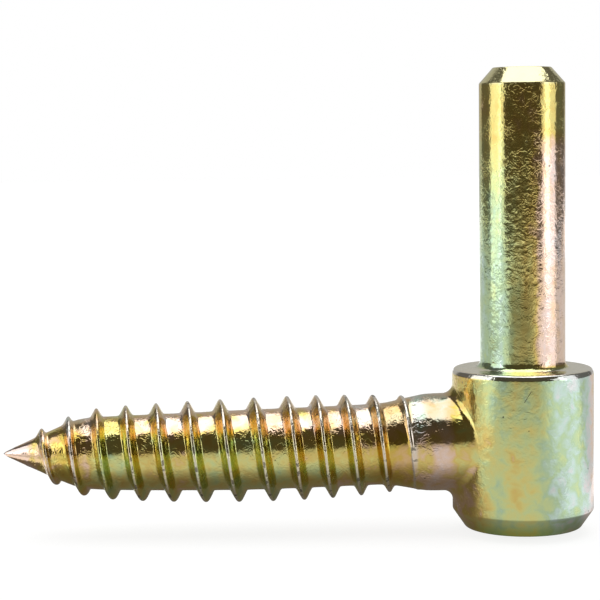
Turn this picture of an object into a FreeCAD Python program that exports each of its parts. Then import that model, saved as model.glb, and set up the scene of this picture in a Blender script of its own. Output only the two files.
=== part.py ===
import FreeCAD, Part
import math
import os

import Sketcher

# Gate hinge pin: a plain round pin stands on a round boss, and a wood screw leaves the boss sideways.
# The whole part is forged, turned and threaded as one piece of steel.
# The origin is the centre of the seat, the boss's top face, on the pin's axis. +Z runs up the pin.
# The screw runs along -X, below the seat. A station is a distance from the pin's axis along the screw.
# Lengths are in millimetres and angles in degrees.

SIZES = {
    # Pin that carries the gate's eye
    "pin_radius": 8.0,
    "pin_height": 56.2,
    "pin_bevel_height": 2.95,
    "pin_bevel_depth": 2.6,
    "pin_top_break": 0.4,
    "pin_root_cone": 1.3,
    # Boss, whose top face is the seat
    "boss_radius": 13.3,
    "boss_height": 30.15,
    "boss_bevel_height": 3.5,
    "boss_bevel_depth": 2.4,
    "boss_foot_break": 0.5,
    "seat_edge_break": 0.4,
    # Screw's plain shank, core and point. The screw falls a little towards its point.
    "screw_drop": 13.6,
    "screw_tilt": 1.2,
    "screw_reach": 98.35,
    "shank_radius": 9.2,
    "shank_fillet": 1.8,
    "plain_shank_end": 18.6,
    "runout_length": 7.4,
    "runout_round": 5.0,
    "core_radius": 7.57,
    "core_taper_start": 53.0,
    "core_taper_angle": 1.3,
    "point_angle": 24.8,
    "point_round": 22.0,
    "nose_radius": 0.35,
    # Thread ridge, whose pitch grows evenly from the point and then falls back to the pitch at the shank
    "thread_pitch": 5.36,
    "first_pitch": 5.03,
    "pitch_growth": 0.21,
    "growth_end_turn": 7.85,
    "growth_rounding": 0.4,
    "first_crest_inset": 7.5,
    "lead_in_turns": 0.75,
    "lead_in_sink": 0.15,
    "crest_radius": 9.95,
    "crest_peak_station": 44.0,
    "crest_fall_to_point": 0.00095,
    "crest_fall_to_shank": 0.002,
    "crest_height_on_point": 1.2,
    "crest_rounding": 1.0,
    "flank_angle": 34.0,
    "ridge_root_depth": 0.8,
}

RAIL_POINTS_PER_TURN = 6
SAME = 1e-3

doc = FreeCAD.newDocument("gate_hinge_pin")


def make_sheet():
    """Spreadsheet of the driving sizes, one alias in each row."""
    sizes = doc.addObject("Spreadsheet::Sheet", "Sizes")
    for row, (alias, value) in enumerate(SIZES.items(), start=1):
        sizes.set(f"A{row}", alias)
        sizes.set(f"B{row}", str(value))
        sizes.setAlias(f"B{row}", alias)
    doc.recompute()
    return sizes


sheet = make_sheet()


def size(alias):
    """A driving size, read from the sheet."""
    return float(getattr(sheet, alias))


def tangent(alias):
    """Tangent of an angle kept in the sheet."""
    return math.tan(math.radians(size(alias)))


def corner_outline(body, name, corners, drop=None, tilt=None):
    """Closed sketch of straight edges on the body's XZ plane, every corner bound to the sheet.

    A corner is a pair of expressions, its place along X and along Z. None puts it on the axis.
    The sketch's own axes may be lowered by the expression in drop and turned by the one in tilt.
    """
    sketch = body.newObject("Sketcher::SketchObject", name)
    plane = next(item for item in body.Origin.OriginFeatures if item.Role == "XZ_Plane")
    sketch.AttachmentSupport = [(plane, "")]
    sketch.MapMode = "FlatFace"
    if drop:
        sketch.setExpression(".AttachmentOffset.Base.y", f"-{drop}")
    if tilt:
        sketch.setExpression(".AttachmentOffset.Rotation.Angle", tilt)
    count = len(corners)
    turns = [math.tau * index / count for index in range(count + 1)]
    ring = [FreeCAD.Vector(math.cos(turn), math.sin(turn), 0) for turn in turns]
    for index in range(count):
        sketch.addGeometry(Part.LineSegment(ring[index], ring[index + 1]), False)
    for index in range(count):
        follower = (index + 1) % count
        sketch.addConstraint(Sketcher.Constraint("Coincident", index, 2, follower, 1))
    for index, (along, up) in enumerate(corners):
        start = ring[index]
        for kind, text, value, axis in (("DistanceX", along, start.x, -2), ("DistanceY", up, start.y, -1)):
            if text is None:
                sketch.addConstraint(Sketcher.Constraint("PointOnObject", index, 1, axis))
            else:
                number = sketch.addConstraint(Sketcher.Constraint(kind, -1, 1, index, 1, value))
                sketch.setExpression(f"Constraints[{number}]", text)
    doc.recompute()
    return sketch


def revolve(body, name, sketch, axis):
    """Full turn of a sketch about one of its own axes, added to the body."""
    turned = body.newObject("PartDesign::Revolution", name)
    turned.Profile = sketch
    turned.ReferenceAxis = (sketch, [axis])
    turned.Angle = 360
    sketch.Visibility = False
    doc.recompute()
    return turned


def soften(body, kind, name, alias, wanted):
    """Fillet or chamfer of one sheet size, on the edges of the body's tip that pass the test in wanted."""
    base = body.Tip
    names = [f"Edge{i}" for i, edge in enumerate(base.Shape.Edges, start=1) if wanted(edge)]
    softened = body.newObject(f"PartDesign::{kind}", name)
    softened.Base = (base, names)
    softened.setExpression("Radius" if kind == "Fillet" else "Size", f"Sizes.{alias}")
    doc.recompute()
    return softened


def screw_point(station):
    """Point on the screw's axis at a station."""
    tilt = math.radians(size("screw_tilt"))
    return FreeCAD.Vector(-station * math.cos(tilt), 0, -size("screw_drop") - station * math.sin(tilt))


def ring_test(centre, radius=None):
    """Test for an edge that is a circle with this centre, and with this radius where one is given."""

    def is_ring(edge):
        if edge.Degenerated or not isinstance(edge.Curve, Part.Circle):
            return False
        right_size = radius is None or abs(edge.Curve.Radius - radius) < SAME
        return right_size and edge.Curve.Center.distanceToPoint(centre) < SAME

    return is_ring


def is_shank_joint(edge):
    """Whether an edge lies on the shank's wall and is neither straight nor a circle."""
    if edge.Degenerated or isinstance(edge.Curve, (Part.Line, Part.Circle)):
        return False
    middle = edge.valueAt((edge.FirstParameter + edge.LastParameter) / 2)
    along = screw_point(1) - screw_point(0)
    off_axis = (middle - screw_point(0)).cross(along).Length
    return abs(off_axis - size("shank_radius")) < SAME


def point_corner_station():
    """Station where the point's cone would meet the tapering core."""
    point, taper = tangent("point_angle"), tangent("core_taper_angle")
    cone_at_axis = size("nose_radius") + size("screw_reach") * point
    core_at_axis = size("core_radius") + size("core_taper_start") * taper
    return (cone_at_axis - core_at_axis) / (point - taper)


# Blank: pin and boss are turned about the pin's axis, shank and core about the screw's axis

blank = doc.addObject("PartDesign::Body", "Blank")
blank.Label = "blank"

PIN_AND_BOSS = [
    (None, "Sizes.pin_height"),
    ("Sizes.pin_radius - Sizes.pin_bevel_depth", "Sizes.pin_height"),
    ("Sizes.pin_radius", "Sizes.pin_height - Sizes.pin_bevel_height"),
    ("Sizes.pin_radius", None),
    ("Sizes.boss_radius", None),
    ("Sizes.boss_radius", "Sizes.boss_bevel_height - Sizes.boss_height"),
    ("Sizes.boss_radius - Sizes.boss_bevel_depth", "-Sizes.boss_height"),
    (None, "-Sizes.boss_height"),
]
revolve(blank, "PinAndBoss", corner_outline(blank, "PinAndBossOutline", PIN_AND_BOSS), "V_Axis")

POINT = "tan(Sizes.point_angle * 1 deg)"
TAPER = "tan(Sizes.core_taper_angle * 1 deg)"
CORNER = (
    f"(Sizes.nose_radius + Sizes.screw_reach * {POINT} - Sizes.core_radius"
    f" - Sizes.core_taper_start * {TAPER}) / ({POINT} - {TAPER})"
)
SHANK_AND_CORE = [
    (None, None),
    ("-Sizes.screw_reach", None),
    ("-Sizes.screw_reach", "Sizes.nose_radius"),
    (f"-{CORNER}", f"Sizes.core_radius - ({CORNER} - Sizes.core_taper_start) * {TAPER}"),
    ("-Sizes.core_taper_start", "Sizes.core_radius"),
    ("-(Sizes.plain_shank_end + Sizes.runout_length)", "Sizes.core_radius"),
    ("-Sizes.plain_shank_end", "Sizes.shank_radius"),
    (None, "Sizes.shank_radius"),
]
shank_outline = corner_outline(
    blank, "ShankOutline", SHANK_AND_CORE, drop="Sizes.screw_drop", tilt="Sizes.screw_tilt"
)
revolve(blank, "ShankAndCore", shank_outline, "H_Axis")

POINT_CORNER = screw_point(point_corner_station())
RUNOUT_END = screw_point(size("plain_shank_end") + size("runout_length"))
SEAT_CENTRE = FreeCAD.Vector(0, 0, 0)
FOOT_CENTRE = FreeCAD.Vector(0, 0, -size("boss_height"))
TOP_CENTRE = FreeCAD.Vector(0, 0, size("pin_height"))

soften(blank, "Fillet", "ShankFillet", "shank_fillet", is_shank_joint)
soften(blank, "Fillet", "PointRound", "point_round", ring_test(POINT_CORNER))
soften(blank, "Fillet", "RunoutRound", "runout_round", ring_test(RUNOUT_END))
soften(blank, "Chamfer", "PinRoot", "pin_root_cone", ring_test(SEAT_CENTRE, size("pin_radius")))
soften(blank, "Chamfer", "SeatEdge", "seat_edge_break", ring_test(SEAT_CENTRE, size("boss_radius")))
soften(blank, "Chamfer", "FootEdge", "boss_foot_break", ring_test(FOOT_CENTRE))
soften(blank, "Chamfer", "TopEdge", "pin_top_break", ring_test(TOP_CENTRE))


# Thread ridge: a right-handed rib, wound round the core from the point to the plain shank.
# It is worked out about the X axis, from the pin's axis along -X, and then moved on to the screw's axis.


def smooth_least(first, second, blend):
    """The lesser of two values, with the corner between them rounded off."""
    return (first + second - math.hypot(first - second, blend)) / 2


def pitch_gain(turn):
    """How much further the crest has gone after this many turns than even turns would take it.

    The pitch starts at the first pitch and grows by the same step in each turn, until the growth ends.
    """
    grown = smooth_least(turn, size("growth_end_turn"), size("growth_rounding"))
    return (size("first_pitch") - size("thread_pitch")) * grown + size("pitch_growth") * grown**2 / 2


def ridge_station(turn):
    """Station of the crest after this many turns from the first crest."""
    first_crest = size("screw_reach") - size("first_crest_inset")
    return first_crest - size("thread_pitch") * turn - pitch_gain(turn)


def cone_at(station):
    """Radius of the point's cone."""
    return size("nose_radius") + (size("screw_reach") - station) * tangent("point_angle")


def core_at(station):
    """Radius of the core under the ridge: the point's cone, or the taper behind it."""
    tapered = max(0, station - size("core_taper_start")) * tangent("core_taper_angle")
    return smooth_least(cone_at(station), size("core_radius") - tapered, size("crest_rounding"))


def crest_at(station):
    """Radius of the crest: a barrel along the screw, cut down to follow the point's cone."""
    away = station - size("crest_peak_station")
    fall = size("crest_fall_to_point") if away > 0 else size("crest_fall_to_shank")
    barrel = size("crest_radius") - fall * away**2
    return smooth_least(cone_at(station) + size("crest_height_on_point"), barrel, size("crest_rounding"))


def ridge_section(turn):
    """Corners of the ridge's cross-section at a turn: root, crest, root. The roots lie inside the core."""
    station = ridge_station(turn)
    core = core_at(station)
    lead_in = min(1, turn / size("lead_in_turns") + 1)
    rise = lead_in**2 * (3 - 2 * lead_in)
    start = core - size("lead_in_sink")
    crest = start + (crest_at(station) - start) * rise
    root = core - size("ridge_root_depth")
    half_width = (crest - root) * tangent("flank_angle")
    angle = math.tau * turn
    corners = ((-half_width, root), (0, crest), (half_width, root))
    return [
        FreeCAD.Vector(offset - station, -radius * math.sin(angle), radius * math.cos(angle))
        for offset, radius in corners
    ]


def ridge_solid():
    """Closed solid of the ridge: ruled strips between three smooth helical rails, one set for each turn."""
    first = -size("lead_in_turns")
    threaded = size("screw_reach") - size("first_crest_inset") - size("plain_shank_end")
    last = (threaded - pitch_gain(threaded / size("thread_pitch"))) / size("thread_pitch")
    count = math.ceil((last - first) * RAIL_POINTS_PER_TURN)
    turns = [first + (last - first) * index / count for index in range(count + 1)]
    sections = [ridge_section(turn) for turn in turns]
    rails = []
    for corner_points in zip(*sections):
        rail = Part.BSplineCurve()
        rail.interpolate(Points=list(corner_points), Parameters=turns)
        rails.append(rail)
    faces = []
    breaks = turns[:-1:RAIL_POINTS_PER_TURN] + [last]
    for start, end in zip(breaks, breaks[1:]):
        edges = []
        for rail in rails:
            stretch = rail.copy()
            stretch.segment(start, end)
            edges.append(stretch.toShape())
        for index, edge in enumerate(edges):
            faces.append(Part.makeRuledSurface(edges[index - 1], edge))
    for section in (sections[0], sections[-1]):
        faces.append(Part.Face(Part.makePolygon(section + section[:1])))
    shell = Part.makeShell(faces)
    shell.sewShape()
    solid = Part.makeSolid(shell)
    return solid


ridge = doc.addObject("Part::Feature", "ThreadRidge")
ridge.Label = "thread_ridge"
ridge.Shape = ridge_solid()
ridge.Placement = FreeCAD.Placement(
    screw_point(0), FreeCAD.Rotation(FreeCAD.Vector(0, 1, 0), -size("screw_tilt"))
)

# Finished pin: blank and ridge as one solid

hinge_pin = doc.addObject("Part::MultiFuse", "HingePin")
hinge_pin.Label = "hinge_pin"
hinge_pin.Shapes = [blank, ridge]
hinge_pin.Placement = FreeCAD.Placement()
doc.recompute()

for item in doc.Objects:
    if {"Invalid", "Error"} & set(item.State):
        raise RuntimeError(f"{item.Label} did not build: {item.State}")

for item in (blank, ridge, hinge_pin):
    if item.Shape.isNull() or not item.Shape.isValid() or len(item.Shape.Solids) != 1:
        raise RuntimeError(f"{item.Label} is not one sound solid")

os.makedirs("parts", exist_ok=True)
hinge_pin.Shape.exportStep(f"parts/{hinge_pin.Label}.step")
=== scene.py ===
"""Gate hinge pin: a round pin on a round boss, with a coarse wood screw leaving the boss sideways.

The frame is the CAD part's own: the origin is the centre of the seat, +Z runs up the pin and the screw
runs along -X. Shapes are worked out in millimetres and put into the mesh in metres.
"""
import logging
import math
from dataclasses import dataclass, field
from enum import Enum

import bmesh
import bpy
import numpy as np
from mathutils import Matrix, Vector


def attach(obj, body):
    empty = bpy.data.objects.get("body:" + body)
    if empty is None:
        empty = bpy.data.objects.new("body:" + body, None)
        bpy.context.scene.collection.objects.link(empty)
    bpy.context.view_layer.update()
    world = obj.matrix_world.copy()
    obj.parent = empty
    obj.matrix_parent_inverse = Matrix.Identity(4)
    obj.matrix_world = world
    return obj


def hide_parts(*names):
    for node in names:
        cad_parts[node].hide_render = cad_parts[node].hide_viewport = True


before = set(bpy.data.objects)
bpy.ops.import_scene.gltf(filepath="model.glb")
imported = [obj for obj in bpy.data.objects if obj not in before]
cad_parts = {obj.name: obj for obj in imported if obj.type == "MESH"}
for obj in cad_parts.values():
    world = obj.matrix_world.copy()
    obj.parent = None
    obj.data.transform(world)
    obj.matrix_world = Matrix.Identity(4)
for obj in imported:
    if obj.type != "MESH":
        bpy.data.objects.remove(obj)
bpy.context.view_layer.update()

LOG = logging.getLogger("gate_hinge_pin")
MM = 0.001
NODE = "hinge_pin"

Point = tuple[float, float, float]
Colour = tuple[float, float, float]
Stops = tuple[tuple[float, Colour], ...]


def smooth_greater(first: np.ndarray, second: np.ndarray, blend: float) -> np.ndarray:
    """The greater of two values, with the corner between them rounded off.

    Args:
        first: One value at each point.
        second: The other value at each point.
        blend: Width over which the two run into each other.

    Returns:
        Half of the sum plus the length of (difference, blend).
    """
    return (first + second + np.hypot(first - second, blend)) / 2


def smooth_lesser(first: np.ndarray, second: np.ndarray, blend: float) -> np.ndarray:
    """The lesser of two values, rounded in the same way as smooth_greater.

    Args:
        first: One value at each point.
        second: The other value at each point.
        blend: Width over which the two run into each other.

    Returns:
        Half of the sum less the length of (difference, blend).
    """
    return (first + second - np.hypot(first - second, blend)) / 2


def rounded_outline(corners: list[tuple[float, float, float]], steps: int) -> np.ndarray:
    """Outline of straight runs whose corners are tangent arcs.

    Each inner corner gives way to an arc that starts and ends at radius times the tangent of half the
    turn from the corner. The arc's centre lies on the bisector, and its points divide the turn evenly.

    Args:
        corners: Radius from the axis, height and rounding radius of each corner, in millimetres.
        steps: Number of divisions in each arc.

    Returns:
        Points of the outline as rows of radius and height.
    """
    points = [np.array([corners[0][:2]])]
    for before, here, after in zip(corners, corners[1:], corners[2:]):
        corner = np.array(here[:2])
        inward = np.array(before[:2]) - corner
        outward = np.array(after[:2]) - corner
        inward, outward = inward / np.linalg.norm(inward), outward / np.linalg.norm(outward)
        half_gap = math.acos(np.clip(inward @ outward, -1, 1)) / 2
        centre = corner + (inward + outward) / np.linalg.norm(inward + outward) * here[2] / math.sin(half_gap)
        start = corner + inward * here[2] / math.tan(half_gap) - centre
        turn = math.pi - 2 * half_gap
        side = np.sign(start[1] * inward[0] - start[0] * inward[1])
        angle = np.linspace(0, turn, steps + 1) * side
        arc = np.stack([
            start[0] * np.cos(angle) - start[1] * np.sin(angle),
            start[0] * np.sin(angle) + start[1] * np.cos(angle),
        ], axis=1)
        points.append(centre + arc)
    points.append(np.array([corners[-1][:2]]))
    return np.concatenate(points)


def densified(outline: np.ndarray, longest: float) -> np.ndarray:
    """Outline with extra points on its long runs.

    Each run is divided evenly into the least number of steps that are no longer than asked.

    Args:
        outline: Points as rows of radius and height.
        longest: Longest step, in millimetres.

    Returns:
        The same outline with more points.
    """
    run = np.diff(outline, axis=0)
    steps = np.maximum(np.ceil(np.linalg.norm(run, axis=1) / longest).astype(int), 1)
    begin = np.repeat(np.arange(len(run)), steps)
    share = (np.arange(steps.sum()) - np.repeat(np.cumsum(steps) - steps, steps)) / steps[begin]
    return np.concatenate([outline[begin] + share[:, None] * run[begin], outline[-1:]])


def linked(name: str, data: bpy.types.ID) -> bpy.types.Object:
    """New object with this data, linked to the scene."""
    made = bpy.data.objects.new(name, data)
    bpy.context.scene.collection.objects.link(made)
    return made


class Skin:
    """Closed surface put together from grids of points that share their borders."""

    def __init__(self) -> None:
        """Starts with no points and no faces."""
        self.points: list[np.ndarray] = []
        self.faces: list[list[int]] = []
        self.count = 0

    def add_points(self, points: np.ndarray) -> np.ndarray:
        """Takes points in.

        Args:
            points: Array of any shape whose last axis is X, Y, Z in millimetres.

        Returns:
            Number of each point, in the shape of the array without its last axis.
        """
        flat = points.reshape(-1, 3)
        numbers = np.arange(self.count, self.count + len(flat)).reshape(points.shape[:-1])
        self.points.append(flat)
        self.count += len(flat)
        return numbers

    def add_quads(self, numbers: np.ndarray) -> None:
        """Four-sided faces between neighbours of a grid of point numbers."""
        quads = np.stack([numbers[:-1, :-1], numbers[:-1, 1:], numbers[1:, 1:], numbers[1:, :-1]], axis=-1)
        self.faces.extend(quads.reshape(-1, 4).tolist())

    def add_grid(self, points: np.ndarray) -> np.ndarray:
        """Takes a grid of points in and joins neighbours by faces.

        Args:
            points: Rows and columns of X, Y, Z in millimetres.

        Returns:
            Numbers of the points, in rows and columns.
        """
        numbers = self.add_points(points)
        self.add_quads(numbers)
        return numbers

    def add_fan(self, hub: int, rim: np.ndarray) -> None:
        """Three-sided faces from one point to each edge of a rim."""
        self.faces.extend([hub, int(first), int(second)] for first, second in zip(rim[:-1], rim[1:]))

    def to_object(self, name: str, weld: float) -> bpy.types.Object:
        """Mesh object of the whole skin, in metres, with shared borders joined and faces outward.

        Args:
            name: Name of the object.
            weld: Distance within which points are joined, in millimetres.

        Returns:
            The new object, smooth shaded and linked to the scene.
        """
        mesh = bpy.data.meshes.new(name)
        mesh.from_pydata((np.concatenate(self.points) * MM).tolist(), [], self.faces)
        work = bmesh.new()
        work.from_mesh(mesh)
        bmesh.ops.remove_doubles(work, verts=work.verts, dist=weld * MM)
        bmesh.ops.recalc_face_normals(work, faces=work.faces)
        open_edges = sum(1 for edge in work.edges if len(edge.link_faces) != 2)
        work.to_mesh(mesh)
        work.free()
        mesh.polygons.foreach_set("use_smooth", np.ones(len(mesh.polygons), dtype=bool))
        mesh.update()
        LOG.info("%s: %d faces, %d edges without two faces", name, len(mesh.polygons), open_edges)
        return linked(name, mesh)


@dataclass(frozen=True)
class Ring:
    """Last ring of the screw's shank: angle, station and point of each column."""

    angle: np.ndarray
    station: np.ndarray
    points: np.ndarray


@dataclass
class WoodScrew:
    """Coarse wood screw: shank, run-out, core, point and a right-handed thread ridge.

    A station is a distance in millimetres from the pin's axis along the screw. A turn is counted along
    the crest from the first full crest at the point. A blend is the width over which two forms run into
    each other.
    """

    drop: float = 13.6
    tilt: float = 1.2
    bow: float = 0.00038
    bow_ends: tuple[float, float] = (24.0, 82.0)
    reach: float = 98.3
    shank_radius: float = 9.2
    shank_end: float = 18.5
    runout: float = 7.35
    runout_blend: float = 1.2
    core_radius: float = 7.6
    core_blend: float = 0.35
    taper_start: float = 52.0
    taper_angle: float = 1.25
    taper_blend: float = 4.0
    point_angle: float = 24.7
    point_blend: float = 1.0
    nose_radius: float = 0.3
    pitch: float = 5.356
    first_pitch: float = 5.035
    pitch_growth: float = 0.209
    growth_end: float = 7.86
    growth_blend: float = 0.4
    first_crest: float = 90.86
    lead_in: float = 0.5
    crest_radius: float = 9.86
    crest_peak: float = 44.5
    crest_falls: tuple[float, float] = (0.0009, 0.00195)
    crest_on_point: float = 1.15
    crest_blend: float = 1.0
    unborn_depth: float = 0.5
    flank_angle: float = 27.0
    crest_round: float = 0.3
    root_round: float = 0.3
    thread_end: float = 12.6
    closing_up: float = 3.4
    ring_gap: float = 0.25
    tip_turn: float = -3.0
    columns: int = 152
    phases: tuple[float, ...] = (
        0.0, 0.1, 0.2, 0.3, 0.42, 0.6, 0.85, 1.1, 1.3, 1.5, 1.72, 2.0, 2.35,
    )

    def axis_frame(self, station: np.ndarray) -> tuple[np.ndarray, np.ndarray]:
        """Points of the screw's axis, and its upward direction.

        The axis falls by the tilt, and a shallow parabola through the two bow ends bends it a little.

        Args:
            station: Stations of any shape.

        Returns:
            Axis points in the stations' shape, and one unit vector square to the axis.
        """
        tilt = math.radians(self.tilt)
        along = np.array([-math.cos(tilt), 0, -math.sin(tilt)])
        up = np.array([-math.sin(tilt), 0, math.cos(tilt)])
        near, far = self.bow_ends
        past = np.maximum(station - near, 0)
        lift = self.bow * past * (station - far)
        start = np.array([0, 0, -self.drop])
        return start + station[..., None] * along + lift[..., None] * up, up

    def crest_station(self, turn: np.ndarray) -> np.ndarray:
        """Station of the crest after some turns.

        The pitch starts at the first pitch and grows by the same step in each turn, until the growth
        ends. The turns past that are even.

        Args:
            turn: Turns from the first full crest, of any shape.

        Returns:
            Stations in the same shape.
        """
        grown = smooth_lesser(turn, self.growth_end, self.growth_blend)
        gain = (self.first_pitch - self.pitch) * grown + self.pitch_growth * grown**2 / 2
        return self.first_crest - self.pitch * turn - gain

    def cone(self, station: np.ndarray) -> np.ndarray:
        """Radius of the point's cone, whose nose is rounded as a hyperbola about the cone.

        Args:
            station: Stations of any shape.

        Returns:
            Radii in the same shape.
        """
        slope = math.tan(math.radians(self.point_angle))
        nose = self.nose_radius / slope
        inset = np.maximum(self.reach - station, 0) + nose
        return slope * np.sqrt(np.maximum(inset**2 - nose**2, 0))

    def core(self, station: np.ndarray) -> np.ndarray:
        """Radius of the core: the lesser of the cone and a slight taper, rounded where they meet.

        Args:
            station: Stations of any shape.

        Returns:
            Radii in the same shape.
        """
        taper = math.tan(math.radians(self.taper_angle))
        past = smooth_greater(station - self.taper_start, 0, self.taper_blend)
        straight = self.core_radius - past * taper
        return np.maximum(smooth_lesser(self.cone(station), straight, self.point_blend), 0)

    def body(self, station: np.ndarray) -> np.ndarray:
        """Radius without the thread: the greater of the core and a shank that ends in a run-out cone.

        Args:
            station: Stations of any shape.

        Returns:
            Radii in the same shape.
        """
        fall = (self.shank_radius - self.core_radius) / self.runout
        past = smooth_greater(station - self.shank_end, 0, self.runout_blend)
        return smooth_greater(self.core(station), self.shank_radius - past * fall, self.core_blend)

    def crest(self, station: np.ndarray) -> np.ndarray:
        """Radius of the crest: a barrel along the screw, cut down to follow the point's cone.

        The barrel falls away from its peak by a share of the square of the distance, with one share
        towards the point and another towards the boss.

        Args:
            station: Stations of any shape.

        Returns:
            Radii in the same shape.
        """
        away = station - self.crest_peak
        fall = np.where(away > 0, *self.crest_falls)
        barrel = self.crest_radius - fall * away**2
        return smooth_lesser(self.cone(station) + self.crest_on_point, barrel, self.crest_blend)

    def ridge(self, crest_turn: np.ndarray, offset: np.ndarray) -> np.ndarray:
        """Radius of the thread ridge beside a crest.

        Two flanks fall away from the crest in straight lines. The cube root of (offset cubed plus round
        cubed) takes the place of the offset, which gives the crest a rounded, slightly flat top.

        Args:
            crest_turn: Turn of the nearest crest at each point.
            offset: Distance along the screw from that crest.

        Returns:
            Radius of the ridge, sunk below the core where the thread has not begun.
        """
        station = self.crest_station(crest_turn)
        sunk = self.core(station) - self.unborn_depth
        rise = np.clip(crest_turn / self.lead_in + 1, 0, 1)
        rise = rise**2 * (3 - 2 * rise)
        crest = sunk + (self.crest(station) - sunk) * rise
        width = (np.abs(offset) ** 3 + self.crest_round**3) ** (1 / 3) - self.crest_round
        return crest - width / math.tan(math.radians(self.flank_angle))

    def place(self, station: np.ndarray, angle: np.ndarray, radius: np.ndarray) -> np.ndarray:
        """Points at a radius from the screw's axis.

        Args:
            station: Stations of any shape.
            angle: Angles in the same shape, from the top and turning towards -Y.
            radius: Radii in the same shape.

        Returns:
            X, Y, Z in millimetres along a new last axis.
        """
        axis, up = self.axis_frame(station)
        across = np.array([0.0, -1.0, 0.0])
        return axis + radius[..., None] * (np.cos(angle)[..., None] * up + np.sin(angle)[..., None] * across)

    def lattice(self) -> tuple[np.ndarray, int, np.ndarray]:
        """Helical grid over the thread and the point, whose rows follow the crest.

        Row r and column c lie at turn row_turn(r) + c / columns, so the last column repeats the first one
        a whole turn further on. Towards the point the stations close in on the tip by a fixed share in
        each turn, and past the thread they close up towards the shank in the same way.

        Returns:
            The points, the number of rows in a turn, and the stations of the last row.
        """
        steps = np.array(self.phases)
        phase = np.concatenate([-steps[:0:-1], steps]) / self.pitch
        rows = len(phase)
        whole = np.arange(math.floor(self.tip_turn), math.ceil(self.thread_end) + 2)
        turns = (whole[:, None] + phase).ravel()
        first, last = np.searchsorted(turns, (self.tip_turn, self.thread_end))
        row_turn = turns[first:last + 1]
        column = np.arange(self.columns + 1) / self.columns
        turn = row_turn[:, None] + column
        station = self.crest_station(turn)
        lead = -self.lead_in
        left = self.reach - self.crest_station(np.array(lead))
        closing = self.pitch / left
        to_tip = self.reach - left * np.exp(closing * (np.minimum(turn, lead) - lead))
        station = np.where(turn < lead, to_tip, station)
        past = np.maximum(turn - self.thread_end, 0)
        to_shank = self.pitch / self.closing_up * (1 - np.exp(-self.closing_up * past))
        station = np.where(past > 0, self.crest_station(np.array(self.thread_end)) - to_shank, station)
        crest_turn = np.round(row_turn)[:, None] + column
        offset = station - self.crest_station(crest_turn)
        radius = smooth_greater(self.body(station), self.ridge(crest_turn, offset), self.root_round)
        angle = np.broadcast_to(column * math.tau, station.shape)
        return self.place(station, angle, radius), rows, station[-1]

    def build(self, skin: Skin) -> Ring:
        """Adds the thread and the point to a skin, as far as a level ring on the plain shank.

        A helical grid ends in a step at both ends. At the tip a fan closes it, and on the shank a strip
        of faces leads to the ring. One column of each is a fan over the step.

        Args:
            skin: The skin that takes the surface in.

        Returns:
            The ring on the plain shank.
        """
        points, rows, last_station = self.lattice()
        numbers = skin.add_grid(points)
        tip = skin.add_points(self.place(np.array([self.reach]), np.zeros(1), np.zeros(1)))[0]
        near = numbers[0]
        skin.add_fan(int(tip), near[:-1])
        wedge = np.concatenate([[tip], numbers[:rows + 1, 0]])
        skin.add_fan(int(near[-2]), wedge)
        angle = np.arange(self.columns + 1) / self.columns * math.tau
        station = np.full(self.columns + 1, float(last_station.min()) - self.ring_gap)
        ring = self.place(station, angle, self.body(station))
        ring_numbers = skin.add_points(ring)
        skin.add_quads(np.stack([numbers[-1], ring_numbers])[:, 1:])
        column = numbers[-1 - rows:, -1]
        rim = np.concatenate([[numbers[-1, 1]], column, [ring_numbers[0]]])
        skin.add_fan(int(ring_numbers[1]), rim)
        return Ring(angle, station, ring)


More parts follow.
